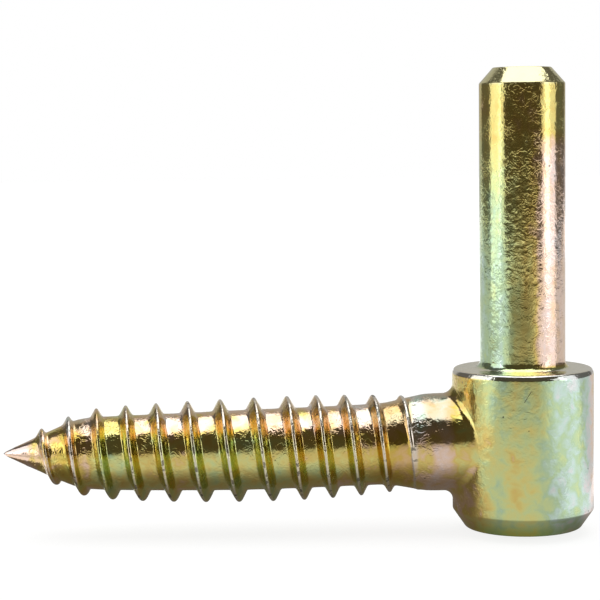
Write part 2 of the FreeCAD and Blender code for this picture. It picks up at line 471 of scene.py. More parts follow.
@dataclass
class PinAndBoss:
    """Round pin on a round boss, with the boss's wall opened for the screw's shank.

    A bevel or an edge is its depth from the side and its height. Rounds are the radii at its two ends,
    from the top down. Lengths are in millimetres.
    """

    pin_radius: float = 8.0
    pin_height: float = 56.2
    pin_bevel: tuple[float, float] = (2.6, 2.95)
    pin_rounds: tuple[float, float] = (0.45, 0.4)
    root_fillet: float = 1.5
    boss_radius: float = 13.3
    boss_height: float = 30.15
    boss_bevel: tuple[float, float] = (2.4, 3.5)
    boss_rounds: tuple[float, float] = (0.6, 0.8)
    seat_edge: tuple[float, float] = (0.4, 0.82)
    seat_rounds: tuple[float, float] = (0.5, 1.1)
    arc_steps: int = 8
    longest_step: float = 2.4
    opening: float = math.radians(76)
    opening_columns: int = 44
    opening_rows: int = 32
    rest_columns: int = 64
    shank_fillet: float = 1.9
    fillet_rows: int = 12
    collar_rows: int = 14
    collar_spread: float = 1.15
    shank_rows: int = 6

    def columns(self) -> np.ndarray:
        """Angles about the pin of every column, from one edge of the opening round to the same edge.

        Returns:
            The opening's columns, evenly spaced, and then those of the rest of the wall.
        """
        inside = np.linspace(math.pi - self.opening, math.pi + self.opening, self.opening_columns + 1)
        outside = np.linspace(math.pi + self.opening, 3 * math.pi - self.opening, self.rest_columns + 1)
        return np.concatenate([inside, outside[1:]])

    def turned(self, outline: np.ndarray, angle: np.ndarray) -> np.ndarray:
        """Outline turned about the pin's axis.

        Args:
            outline: Points as rows of radius and height.
            angle: Angles to which it is turned.

        Returns:
            Grid of points, with a row for each point of the outline and a column for each angle.
        """
        radius, height = outline[:, :1], outline[:, 1:]
        level = np.broadcast_to(height, (len(outline), len(angle)))
        return np.stack([radius * np.cos(angle), radius * np.sin(angle), level], axis=-1)

    def upper_outline(self) -> np.ndarray:
        """Outline from the pin's top, down the pin and over the seat to the boss's wall.

        Returns:
            Points as rows of radius and height.
        """
        depth, height = self.pin_bevel
        bevel, shoulder = self.pin_rounds
        edge_depth, edge_height = self.seat_edge
        rim, foot_of_rim = self.seat_rounds
        top = self.pin_height
        outline = rounded_outline([
            (0.0, top, 0.0),
            (self.pin_radius - depth, top, bevel),
            (self.pin_radius, top - height, shoulder),
            (self.pin_radius, 0.0, self.root_fillet),
            (self.boss_radius - edge_depth, 0.0, rim),
            (self.boss_radius, -edge_height, foot_of_rim),
            (self.boss_radius, -self.boss_height, 0.0),
        ], self.arc_steps)[:-1]
        return densified(outline, self.longest_step)

    def lower_outline(self) -> np.ndarray:
        """Outline from the foot of the boss's wall, over the lower bevel to the axis.

        Returns:
            Points as rows of radius and height.
        """
        depth, height = self.boss_bevel
        knuckle, foot = self.boss_rounds
        outline = rounded_outline([
            (self.boss_radius, 0.0, 0.0),
            (self.boss_radius, height - self.boss_height, knuckle),
            (self.boss_radius - depth, -self.boss_height, foot),
            (0.0, -self.boss_height, 0.0),
        ], self.arc_steps)[1:]
        return densified(outline, self.longest_step)

    def build(self, skin: Skin, screw: WoodScrew, ring: Ring) -> None:
        """Adds the pin, the boss and the blend into the screw's shank to a skin.

        Args:
            skin: The skin that takes the surface in.
            screw: The screw whose shank enters the boss.
            ring: Last ring of that shank.
        """
        angles = self.columns()
        upper, lower = self.upper_outline(), self.lower_outline()
        skin.add_grid(self.turned(upper, angles))
        skin.add_grid(self.turned(lower, angles))
        heights = np.linspace(upper[-1, 1], lower[0, 1], self.opening_rows + 1)
        wall = np.stack([np.full_like(heights, self.boss_radius), heights], axis=1)
        skin.add_grid(self.turned(wall, angles[self.opening_columns:]))
        collar, blend = self.blend(screw, ring)
        skin.add_grid(blend)
        skin.add_grid(self.collar(collar, angles[:self.opening_columns + 1], heights))

    def blend(self, screw: WoodScrew, ring: Ring) -> tuple[np.ndarray, np.ndarray]:
        """Blend from the screw's shank into the boss's wall.

        Each column is a conic arc. It leaves the shank along the screw's axis and lands on the wall, and
        both ends lie from the corner by the fillet's radius over the tangent of half the open angle. Its
        middle control point is where the axial line meets the wall's tangent plane, so both ends are
        tangent, and its weight is the sine of half the open angle, as on a circle.

        Args:
            screw: The screw whose shank enters the boss.
            ring: Last ring of that shank.

        Returns:
            Unrolled places on the wall, as angle and height, where the columns land, and the grid from
            the ring to the wall.
        """
        angle, wall = ring.angle, self.boss_radius
        tilt = math.radians(screw.tilt)
        along = np.array([-math.cos(tilt), 0, -math.sin(tilt)])
        radius = screw.shank_radius
        inner = np.sqrt(wall**2 - (radius * np.sin(angle)) ** 2)
        corner_station = (inner - radius * np.cos(angle) * math.sin(tilt)) / math.cos(tilt)
        corner = screw.place(corner_station, angle, np.full_like(angle, radius))
        corner_angle = np.arctan2(corner[:, 1], corner[:, 0]) % math.tau
        centre = screw.place(corner_station, angle, np.zeros_like(angle))
        away = np.stack([(corner_angle - math.pi) * wall, corner[:, 2] - centre[:, 2]], axis=1)
        away /= np.linalg.norm(away, axis=1, keepdims=True)
        round_wall, up_wall = away[:, 0], away[:, 1]
        run_x, run_y = -np.sin(corner_angle) * round_wall, np.cos(corner_angle) * round_wall
        run = np.stack([run_x, run_y, up_wall], axis=1)
        half_open = (np.arccos(np.clip(run @ along, -1, 1)) / 2)[:, None]
        reach = self.shank_fillet / np.tan(half_open)
        start_station = corner_station + reach[:, 0]
        start = screw.place(start_station, angle, screw.body(start_station))
        landing_angle = corner_angle + round_wall * reach[:, 0] / wall
        landing_height = corner[:, 2] + up_wall * reach[:, 0]
        level = np.zeros_like(angle)
        normal = np.stack([np.cos(landing_angle), np.sin(landing_angle), level], axis=1)
        landing = normal * wall + landing_height[:, None] * np.array([0, 0, 1])
        travel = np.sum((landing - start) * normal, axis=1, keepdims=True) / (normal @ along)[:, None]
        control = start + travel * along
        share = np.linspace(0, 1, self.fillet_rows + 1)[:, None, None]
        from_start, from_landing = (1 - share) ** 2, share**2
        from_control = 2 * np.sin(half_open) * share * (1 - share)
        total = from_start + from_control + from_landing
        arc = (from_start * start + from_control * control + from_landing * landing) / total
        row = np.linspace(0, 1, self.shank_rows + 1)[:-1, None]
        station = ring.station + (start_station - ring.station) * row
        shank = screw.place(station, np.broadcast_to(angle, station.shape), screw.body(station))
        return np.stack([landing_angle, landing_height], axis=1), np.concatenate([shank, arc])

    def collar(self, inner: np.ndarray, angles: np.ndarray, heights: np.ndarray) -> np.ndarray:
        """Wall round the shank, from the blend's edge out to the border of the opening.

        In unrolled angle and height each column is a straight line from the blend's edge to one point of
        the border, with its rows a little closer at the blend. The border is followed from the middle of
        its top edge in the screw's own direction.

        Args:
            inner: Angle and height of the blend's edge in each column.
            angles: Angles of the opening's columns.
            heights: Heights of the opening's rows, from the top down.

        Returns:
            Grid of points on the wall.
        """
        half = self.opening_columns // 2
        top = np.stack([angles, np.full_like(angles, heights[0])], axis=1)
        foot = np.stack([angles, np.full_like(angles, heights[-1])], axis=1)
        near = np.stack([np.full_like(heights, angles[-1]), heights], axis=1)
        far = np.stack([np.full_like(heights, angles[0]), heights], axis=1)
        border = np.concatenate([top[half:], near[1:], foot[::-1][1:], far[::-1][1:], top[1:half + 1]])
        share = np.linspace(0, 1, self.collar_rows + 1)[:, None, None] ** self.collar_spread
        place = inner + (border - inner) * share
        angle, height = place[..., 0], place[..., 1]
        return np.stack([self.boss_radius * np.cos(angle), self.boss_radius * np.sin(angle), height], axis=-1)


class Sock:
    """Output of a node, or a plain number, in an expression that adds its Math nodes."""

    def __init__(self, graph: "Graph", value: "bpy.types.NodeSocket | float") -> None:
        """Keeps the graph and the socket or number."""
        self.graph = graph
        self.value = value

    def math(self, operation: str, *others: "Sock | float") -> "Sock":
        """A Math node on this value and others."""
        return self.graph.node("ShaderNodeMath", {"operation": operation}, self, *others)

    def __add__(self, other: "Sock | float") -> "Sock":
        """Sum."""
        return self.math("ADD", other)

    __radd__ = __add__

    def __sub__(self, other: "Sock | float") -> "Sock":
        """Difference."""
        return self.math("SUBTRACT", other)

    def __rsub__(self, other: float) -> "Sock":
        """Difference from a number."""
        return Sock(self.graph, other).math("SUBTRACT", self)

    def __mul__(self, other: "Sock | float") -> "Sock":
        """Product."""
        return self.math("MULTIPLY", other)

    __rmul__ = __mul__

    def __truediv__(self, other: "Sock | float") -> "Sock":
        """Quotient."""
        return self.math("DIVIDE", other)

    def __pow__(self, other: "Sock | float") -> "Sock":
        """Power."""
        return self.math("POWER", other)

    def __abs__(self) -> "Sock":
        """Size without sign."""
        return self.math("ABSOLUTE")

    def output(self, name: str) -> "Sock":
        """Another output of the same node."""
        return Sock(self.graph, self.value.node.outputs[name])

    def step(self, low: float, high: float) -> "Sock":
        """Smooth step from 0 at low to 1 at high; low may be the greater."""
        settings = {"interpolation_type": "SMOOTHSTEP", "clamp": True}
        return self.graph.node("ShaderNodeMapRange", settings, self, low, high, 0.0, 1.0)


Axes = tuple[Sock, Sock, Sock]


class Graph:
    """Node tree of a material or the world."""

    def __init__(self, tree: bpy.types.NodeTree) -> None:
        """Empties the tree."""
        tree.nodes.clear()
        self.tree = tree

    def node(
        self, kind: str, settings: dict[str, object], *inputs: object, out: int | str = 0, **named: object
    ) -> Sock:
        """Any node, with its settings, and values or links for its sockets.

        Args:
            kind: Type of the node.
            settings: Attributes that are set first; "stops" gives a ramp's places and colours.
            *inputs: Values or links of the first sockets in order; None leaves one alone.
            out: Place or name of the output that is wanted.
            **named: Values or links of sockets by name, with _ for a space.

        Returns:
            The wanted output.
        """
        made = self.tree.nodes.new(kind)
        for key, value in settings.items():
            if key == "stops":
                self.fill_ramp(made.color_ramp, value)
            else:
                setattr(made, key, value)
        for socket, value in zip(made.inputs, inputs):
            self.feed(socket, value)
        for key, value in named.items():
            self.feed(made.inputs[key.replace("_", " ")], value)
        return Sock(self, made.outputs[out]) if made.outputs else Sock(self, 0.0)

    def feed(self, socket: bpy.types.NodeSocket, value: object) -> None:
        """Links a socket, or sets its own value.

        Args:
            socket: Input socket of a node.
            value: A link, a number, a vector or a colour of three parts; None leaves the socket alone.
        """
        if value is None:
            return
        if isinstance(value, Sock):
            value = value.value
        if isinstance(value, bpy.types.NodeSocket):
            self.tree.links.new(value, socket)
        else:
            socket.default_value = (*value, 1.0) if socket.type == "RGBA" else value

    @staticmethod
    def fill_ramp(ramp: bpy.types.ColorRamp, stops: Stops) -> None:
        """Sets the stops of a ramp.

        Args:
            ramp: Ramp of a Color Ramp node.
            stops: Place and colour of each stop, in order.
        """
        ramp.interpolation = "LINEAR"
        while len(ramp.elements) > 1:
            ramp.elements.remove(ramp.elements[-1])
        for index, (place, colour) in enumerate(stops):
            element = ramp.elements[0] if index == 0 else ramp.elements.new(place)
            element.position = place
            element.color = (*colour, 1.0)

    def ramp(self, stops: Stops, place: Sock) -> Sock:
        """Colour of a ramp at a place from 0 to 1."""
        return self.node("ShaderNodeValToRGB", {"stops": stops}, place)

    def split(self, place: Sock) -> Axes:
        """X, Y and Z of a place in metres, each in millimetres."""
        parts = self.node("ShaderNodeSeparateXYZ", {}, place)
        return parts / MM, parts.output("Y") / MM, parts.output("Z") / MM

    def mix(self, factor: "Sock | float", first: object, second: object, blend: str = "MIX") -> Sock:
        """Mix of two colours.

        Args:
            factor: Share of the second, from 0 to 1.
            first: Colour beneath, as a link or three numbers.
            second: Colour above, in the same form.
            blend: Way in which the second joins the first.

        Returns:
            The mixed colour.
        """
        settings = {"data_type": "RGBA", "blend_type": blend}
        made = self.node("ShaderNodeMix", settings, factor, out=2)
        owner = made.value.node
        self.feed(owner.inputs[6], first)
        self.feed(owner.inputs[7], second)
        return made

    def seen(self) -> Sock:
        """Mask of the rays that see the backdrop.

        Returns:
            1 for rays from the camera and for reflected and transmitted rays, 0 for the light's own.
        """
        camera = self.node("ShaderNodeLightPath", {}, out="Is Camera Ray")
        seen = camera.math("MAXIMUM", camera.output("Is Glossy Ray"))
        return seen.math("MAXIMUM", camera.output("Is Transmission Ray"))

    def vector(self, operation: str, *inputs: object) -> Sock:
        """A Vector Math node."""
        return self.node("ShaderNodeVectorMath", {"operation": operation}, *inputs)

    def noise(self, place: Sock, pattern: "Pattern") -> Sock:
        """Noise of a pattern.

        Args:
            place: Object coordinates.
            pattern: Scale, detail, roughness, twist and squeeze of the noise.

        Returns:
            A value between 0 and 1, mostly near the middle.
        """
        scale, detail, rough, twist, squeeze = pattern.value
        if squeeze != 1.0:
            place = self.vector("MULTIPLY", place, (1.0, 1.0, squeeze))
        settings = {"noise_dimensions": "3D"}
        return self.node("ShaderNodeTexNoise", settings, place, None, scale, detail, rough, Distortion=twist)


def blank_material(name: str) -> tuple[bpy.types.Material, Graph]:
    """New material with an empty node tree, and the graph of that tree."""
    made = bpy.data.materials.new(name)
    made.use_nodes = True
    return made, Graph(made.node_tree)


class Axis(Enum):
    """Directions of the part's frame."""

    X = 0
    Y = 1
    Z = 2


@dataclass(frozen=True)
class Fade:
    """Smooth rise from 0 to 1 along an axis, from one place to another in millimetres."""

    axis: Axis
    begin: float
    end: float

    def mask(self, axes: Axes) -> Sock:
        """The rise, from the three coordinates."""
        return axes[self.axis.value].step(self.begin, self.end)


@dataclass(frozen=True)
class Zone:
    """Amount that applies in one place, where all of its fades have risen."""

    amount: float
    fades: tuple[Fade, ...]

    def mask(self, axes: Axes) -> Sock:
        """The amount times the product of the fades."""
        return math.prod((fade.mask(axes) for fade in self.fades), start=self.amount)


def total(zones: tuple[Zone, ...], axes: Axes) -> Sock:
    """Sum of what some zones give."""
    return sum((zone.mask(axes) for zone in zones[1:]), start=zones[0].mask(axes))


class Pattern(Enum):
    """Noises: features to the metre, detail, roughness, twist, and squeeze along Z (1 is none)."""

    BROAD = (105.0, 2.0, 0.5, 0.8, 0.55)
    FINE = (420.0, 2.0, 0.5, 0.5, 1.0)
    # Upright streaks used on the pin as painted reflections
    REFLECTION_STREAKS = (520.0, 2.0, 0.5, 0.0, 0.1)
    GRAIN = (820.0, 2.0, 0.5, 0.5, 1.0)
    CURL = (760.0, 1.0, 0.4, 1.5, 1.0)
    PATCHES = (300.0, 1.0, 0.5, 0.0, 1.0)
    BROKEN = (900.0, 2.0, 0.5, 0.0, 1.0)
    CLOUDS = (260.0, 2.0, 0.5, 0.0, 1.0)


@dataclass(frozen=True)
class Drift:
    """Noise that moves the film round its ring, and its strength on the boss, screw and pin."""

    pattern: Pattern
    boss: float
    screw: float
    pin: float


class Blend(Enum):
    """Ways in which a tint joins the colour beneath it."""

    COVER = "MIX"
    MULTIPLIED = "MULTIPLY"


@dataclass(frozen=True)
class Tint:
    """Colour that joins the film's own colour in some zones."""

    colour: Colour
    blend: Blend
    zones: tuple[Zone, ...]


def greys(bands: tuple[tuple[float, float], ...]) -> Stops:
    """Stops of a ramp that gives back plain values."""
    return tuple((place, (value, value, value)) for place, value in bands)


# Ring of film colours by level; the last is the first again
FILM_RING = (
    (0.00, (0.80, 0.60, 0.19)),
    (0.12, (0.80, 0.72, 0.27)),
    (0.26, (0.68, 0.76, 0.36)),
    (0.40, (0.52, 0.68, 0.44)),
    (0.52, (0.60, 0.76, 0.69)),
    (0.64, (0.78, 0.75, 0.76)),
    (0.76, (0.90, 0.70, 0.62)),
    (0.88, (0.88, 0.62, 0.43)),
    (1.00, (0.80, 0.60, 0.19)),
)
# Film level across the boss, from its left to its right; the pale teal band right of the middle is a painted
# highlight as well as film colour
BOSS_FILM_AND_HIGHLIGHT_BANDS = greys((
    (0.00, 0.02), (0.12, 0.06), (0.20, 0.14), (0.30, 0.32), (0.39, 0.13), (0.50, 0.14),
    (0.58, 0.32), (0.68, 0.48), (0.79, 0.53), (0.86, 0.44), (0.92, 0.56), (0.96, 0.72), (1.00, 0.88),
))
# Film level along the screw, from the boss to the point, raised so that none is below 0
SCREW_BANDS = greys((
    (0.00, 0.14), (0.09, 0.14), (0.16, 0.25), (0.24, 0.28), (0.30, 0.38), (0.42, 0.42),
    (0.49, 0.50), (0.56, 0.47), (0.635, 0.39), (0.71, 0.43), (0.77, 0.50), (0.83, 0.21),
    (0.895, 0.15), (0.95, 0.13), (1.00, 0.10),
))
DRIFTS = (
    Drift(Pattern.BROAD, 0.58, 0.8, 0.28),
    Drift(Pattern.FINE, 0.6, 0.6, 0.26),
    # Painted reflection: upright streaks in the pin's film stand in for streaks in its reflections
    Drift(Pattern.REFLECTION_STREAKS, 0.0, 0.0, 0.3),
)
# Places on the part, and what they add to the film's level or to the height of the fine ridges
ON_SCREW = Fade(Axis.X, -12.5, -15.5)
ON_PIN = Fade(Axis.Z, -0.8, 1.5)
PAST_POINT = Fade(Axis.X, -90.0, -86.0)
WORN_FROM = Fade(Axis.X, -20.0, -21.0)
SCREW_TOP = Fade(Axis.Z, -12.5, -8.5)
# Top of the screw, where a painted shade dims the overhead highlight
PAINTED_SHADE_TOP = (Fade(Axis.X, -11.5, -13.5), Fade(Axis.Z, -11.5, -8.5))
PIN_ZONES = (
    Zone(0.36, (Fade(Axis.X, 0.0, -5.0), Fade(Axis.Z, 48.0, 18.0))),
    Zone(-0.28, (Fade(Axis.X, 0.0, 3.4), Fade(Axis.Z, 47.0, 39.0))),
)
BOSS_ZONES = (Zone(0.12, (Fade(Axis.Z, -25.5, -27.5),)),)
SCREW_ZONES = (
    Zone(-0.05, (SCREW_TOP,)),
    Zone(-0.22, (SCREW_TOP, Fade(Axis.X, -17.0, -21.0))),
)
RIDGE_ZONES = (
    Zone(-0.12, (Fade(Axis.X, -13.0, -12.0), Fade(Axis.Z, 0.5, -0.5))),
    Zone(0.22, (Fade(Axis.X, -13.0, -15.0),)),
)
# Tints: painted shade on the top of the screw, seat, painted highlight on the rim of the seat, top bevel of
# the pin, foot of the boss
TINTS = (
    # Painted shade: darkens the top of the screw, most on the shank next to the boss, to dim the overhead
    # highlight there
    Tint((0.62, 0.64, 0.46), Blend.MULTIPLIED, (
        Zone(0.3, PAINTED_SHADE_TOP), Zone(0.6, (*PAINTED_SHADE_TOP, Fade(Axis.X, -20.5, -18.0))),
    )),
    Tint((0.94, 0.88, 0.78), Blend.COVER, (
        Zone(0.8, (Fade(Axis.Z, -0.5, -0.1), Fade(Axis.Z, 0.5, 0.1))),
    )),
    # Painted highlight: a pale lilac-white line on the rounded rim of the seat
    Tint((0.84, 0.84, 0.86), Blend.COVER, (
        Zone(0.75, (Fade(Axis.Z, -1.0, -0.7), Fade(Axis.Z, -0.04, -0.12))),
    )),
    Tint((0.8, 0.77, 0.47), Blend.COVER, (Zone(0.8, (Fade(Axis.Z, 52.6, 53.6),)),)),
    Tint((0.74, 0.8, 0.5), Blend.MULTIPLIED, (Zone(1.0, (Fade(Axis.Z, -26.7, -30.0),)),)),
)


@dataclass(frozen=True)
class Scratch:
    """Short straight mark on the front of the boss: its middle, half length, half width and lean."""

    x: float
    z: float
    half_length: float
    half_width: float
    lean: float

    def mask(self, axes: Axes) -> Sock:
        """The mark on the side that faces -Y.

        Args:
            axes: The three coordinates.

        Returns:
            1 inside the mark, 0 elsewhere.
        """
        x, y, z = axes
        lean_cos, lean_sin = math.cos(self.lean), math.sin(self.lean)
        along = abs((x - self.x) * lean_sin + (z - self.z) * lean_cos)
        across = abs((x - self.x) * lean_cos - (z - self.z) * lean_sin)
        inside = along.step(self.half_length, self.half_length * 0.8) * across.step(self.half_width, 0.0)
        return inside * y.step(0.0, -1.0)


@dataclass(frozen=True)
class YellowZinc:
    """Glossy yellow-passivated zinc, whose thin film drifts through gold, green, teal, white and pink.

    The film's level is counted round a closed ring of colours, from 0 to 1. Lengths are in millimetres,
    apart from the bump's distance.
    """

    screw: WoodScrew
    head: PinAndBoss
    pin_level: float = 0.07
    boss_middle: float = -15.0
    boss_climb: float = 0.006
    screw_span: tuple[float, float] = (-13.0, -98.0)
    screw_raise: float = 0.3
    flank_foot: tuple[float, float] = (-2.0, -1.3)
    flank_top: tuple[float, float] = (0.0, -0.3)
    # Flank darkening: partly the film's own colour, partly painted shade between the thread's ridges
    flank_film_and_shade_colour: Colour = (0.86, 0.79, 0.46)
    flank_film_and_shade_amount: float = 0.85
    flank_shift: float = 0.12
    crest_edge: tuple[float, float] = (0.28, 0.1)
    worn_colour: Colour = (0.84, 0.79, 0.7)
    wear: float = 0.75
    wear_fray: float = 0.16
    speck_edge: tuple[float, float] = (0.45, 0.39)
    speck_strength: float = 0.9
    dirt_colour: Colour = (0.08, 0.07, 0.05)
    dirt: float = 0.75
    dirt_depth: float = 0.6
    dirt_roughness: float = 0.2
    pit_scale: float = 430.0
    roughness: float = 0.12
    roughness_range: float = 0.08
    grain_height: float = 1.05
    ridge_height: float = 0.24
    bump_distance: float = 0.00005
    mark: Scratch = Scratch(-0.6, -3.7, 1.3, 0.1, 0.55)

    def material(self) -> bpy.types.Material:
        """Material of the finish, on Object coordinates.

        Returns:
            The new material, with the film, its tints, the wear, the dirt and the fine texture.
        """
        made, graph = blank_material("yellow_zinc")
        place = graph.node("ShaderNodeTexCoord", {}, out="Object")
        axes = graph.split(place)
        above = self.over_thread(axes)
        broken = graph.noise(place, Pattern.BROKEN)
        worn = (abs(above) + broken * self.wear_fray).step(*self.crest_edge) * WORN_FROM.mask(axes)
        specks = broken.step(*self.speck_edge) * worn * self.speck_strength
        marks = self.pits(graph, place).math("MAXIMUM", self.mark.mask(axes))
        dark = marks.math("MAXIMUM", specks)
        colour = self.tinted_film(graph, place, axes, above)
        colour = graph.mix(worn * self.wear, colour, self.worn_colour)
        colour = graph.mix(dark * self.dirt, colour, self.dirt_colour)
        clouds = (graph.noise(place, Pattern.CLOUDS) - 0.5) * self.roughness_range
        rough = self.roughness + clouds + dark * self.dirt_roughness
        height = self.height(graph, place, axes) - dark * self.dirt_depth
        bump = graph.node("ShaderNodeBump", {}, Strength=1.0, Distance=self.bump_distance, Height=height)
        shader = graph.node(
            "ShaderNodeBsdfPrincipled", {}, Base_Color=colour, Metallic=1.0, Roughness=rough, Normal=bump
        )
        graph.node("ShaderNodeOutputMaterial", {}, Surface=shader)
        return made

    def tinted_film(self, graph: Graph, place: Sock, axes: Axes, above: Sock) -> Sock:
        """Colour of the film, darkened and yellowed on the thread's flanks partly as film colour and partly
        as painted shade between the ridges, and tinted in the other zones.

        Args:
            graph: Graph of the material.
            place: Object coordinates.
            axes: The three coordinates.
            above: Height over the thread's crests, below 0 on its flanks.

        Returns:
            The colour.
        """
        on_flank = above.step(*self.flank_foot) * above.step(*self.flank_top)
        on_flank = on_flank * ON_SCREW.mask(axes) * PAST_POINT.mask(axes)
        level = self.film(graph, place, axes) + on_flank * self.flank_shift
        colour = graph.ramp(FILM_RING, level.math("FRACT"))
        # Painted shade in part: the flanks are multiplied darker and more golden, standing in for light lost
        # between the ridges
        colour = graph.mix(on_flank * self.flank_film_and_shade_amount, colour, self.flank_film_and_shade_colour, Blend.MULTIPLIED.value)
        for tint in TINTS:
            colour = graph.mix(total(tint.zones, axes), colour, tint.colour, tint.blend.value)
        return colour

    def film(self, graph: Graph, place: Sock, axes: Axes) -> Sock:
        """Level of the film over the part.

        The pin runs from green on its left to pink on its right, and is gold near its top. The boss has
        upright bands, one of which, right of the middle, is a painted highlight as well as film colour, and
        the screw has bands along it with a pinker top. Noises break all of it up, and on the pin upright
        streaks are painted reflections.

        Args:
            graph: Graph of the material.
            place: Object coordinates.
            axes: The three coordinates.

        Returns:
            That level, of which only the part after the point counts.
        """
        x, _, z = axes
        wall = self.head.boss_radius
        near, far = self.screw_span
        pin = self.pin_level + total(PIN_ZONES, axes)
        # The boss's bands include a painted highlight right of the middle
        boss = graph.ramp(BOSS_FILM_AND_HIGHLIGHT_BANDS, (x + wall) / (2 * wall)) + (z - self.boss_middle) * self.boss_climb
        boss = boss + total(BOSS_ZONES, axes)
        screw = graph.ramp(SCREW_BANDS, (x - near) / (far - near)) - self.screw_raise
        screw = screw + total(SCREW_ZONES, axes)
        on_screw, on_pin = ON_SCREW.mask(axes), ON_PIN.mask(axes)
        level = boss + (pin - boss) * on_pin
        level = level + (screw - level) * on_screw
        for drift in DRIFTS:
            strength = drift.boss + on_screw * (drift.screw - drift.boss) + on_pin * (drift.pin - drift.boss)
            level = level + (graph.noise(place, drift.pattern) - 0.5) * strength
        return level

    def over_thread(self, axes: Axes) -> Sock:
        """Distance from the screw's axis less the radius of the barrel or cone on which the crests lie.

        It follows the same bowed axis, barrel and cone as the wood screw's own shape.

        Args:
            axes: The three coordinates.

        Returns:
            That difference, in millimetres.
        """
        x, y, z = axes
        screw = self.screw
        near, far = screw.bow_ends
        to_point, to_boss = screw.crest_falls
        station = x * -1.0
        bow = (station - near).math("MAXIMUM", 0.0) * (station - far) * screw.bow
        rise = z + screw.drop + station * math.tan(math.radians(screw.tilt)) - bow
        radius = (y * y + rise * rise) ** 0.5
        away = station - screw.crest_peak
        fall = to_point + away.step(0.5, -0.5) * (to_boss - to_point)
        barrel = screw.crest_radius - away * away * fall
        slope = math.tan(math.radians(screw.point_angle))
        cone = (screw.reach - station) * slope + screw.crest_on_point
        return radius - barrel.math("MINIMUM", cone)

    def pits(self, graph: Graph, place: Sock) -> Sock:
        """Scattered small pits: cells of a Voronoi pattern, a few of which have a dark middle.

        Args:
            graph: Graph of the material.
            place: Object coordinates.

        Returns:
            1 in a pit, 0 elsewhere.
        """
        near = graph.node("ShaderNodeTexVoronoi", {"feature": "F1"}, Vector=place, Scale=self.pit_scale)
        chosen = graph.node("ShaderNodeSeparateColor", {}, near.output("Color")).step(0.8, 0.82)
        return near.step(0.1, 0.05) * chosen

    def height(self, graph: Graph, place: Sock, axes: Axes) -> Sock:
        """Height of the fine texture: a soft grain, with patches of hair-like curved ridges.

        The ridges are lower on the boss and higher on the screw.

        Args:
            graph: Graph of the material.
            place: Object coordinates.
            axes: The three coordinates.

        Returns:
            Height in steps of the bump's distance.
        """
        grain = graph.noise(place, Pattern.GRAIN)
        ridges = abs(graph.noise(place, Pattern.CURL) - 0.5).step(0.1, 0.0)
        patch = graph.noise(place, Pattern.PATCHES).step(0.35, 0.65)
        depth = self.ridge_height + total(RIDGE_ZONES, axes)
        return grain * self.grain_height + ridges * patch * depth


class Shade(Enum):
    """Colours of the studio's cards, in linear light."""

    DARK = (0.072, 0.062, 0.04)
    COPPER = (0.42, 0.27, 0.16)
    WALL = (0.13, 0.125, 0.11)
    # Painted shadow of the part on the floor, as reflections see it
    PAINTED_SHADOW = (0.15, 0.135, 0.11)
    FAR = (0.2, 0.19, 0.16)
    LOW = (0.38, 0.36, 0.31)
    SIDE = (0.95, 0.95, 0.93)
    DIM = (0.66, 0.66, 0.63)
    BACK = (0.47, 0.46, 0.43)
    PALE = (0.66, 0.655, 0.63)


@dataclass(frozen=True)
class Card:
    """Plain card that only reflections see, with four corners in metres.

    Each of its fades brings in another shade.
    """

    name: str
    shade: Shade
    corners: tuple[Point, Point, Point, Point]
    fades: tuple[tuple[Fade, Shade], ...] = ()


@dataclass(frozen=True)
class Softbox:
    """Rectangular lamp: its centre and size in metres, and its brightness, where 1 is white."""

    name: str
    centre: Point
    size: tuple[float, float]
    level: float


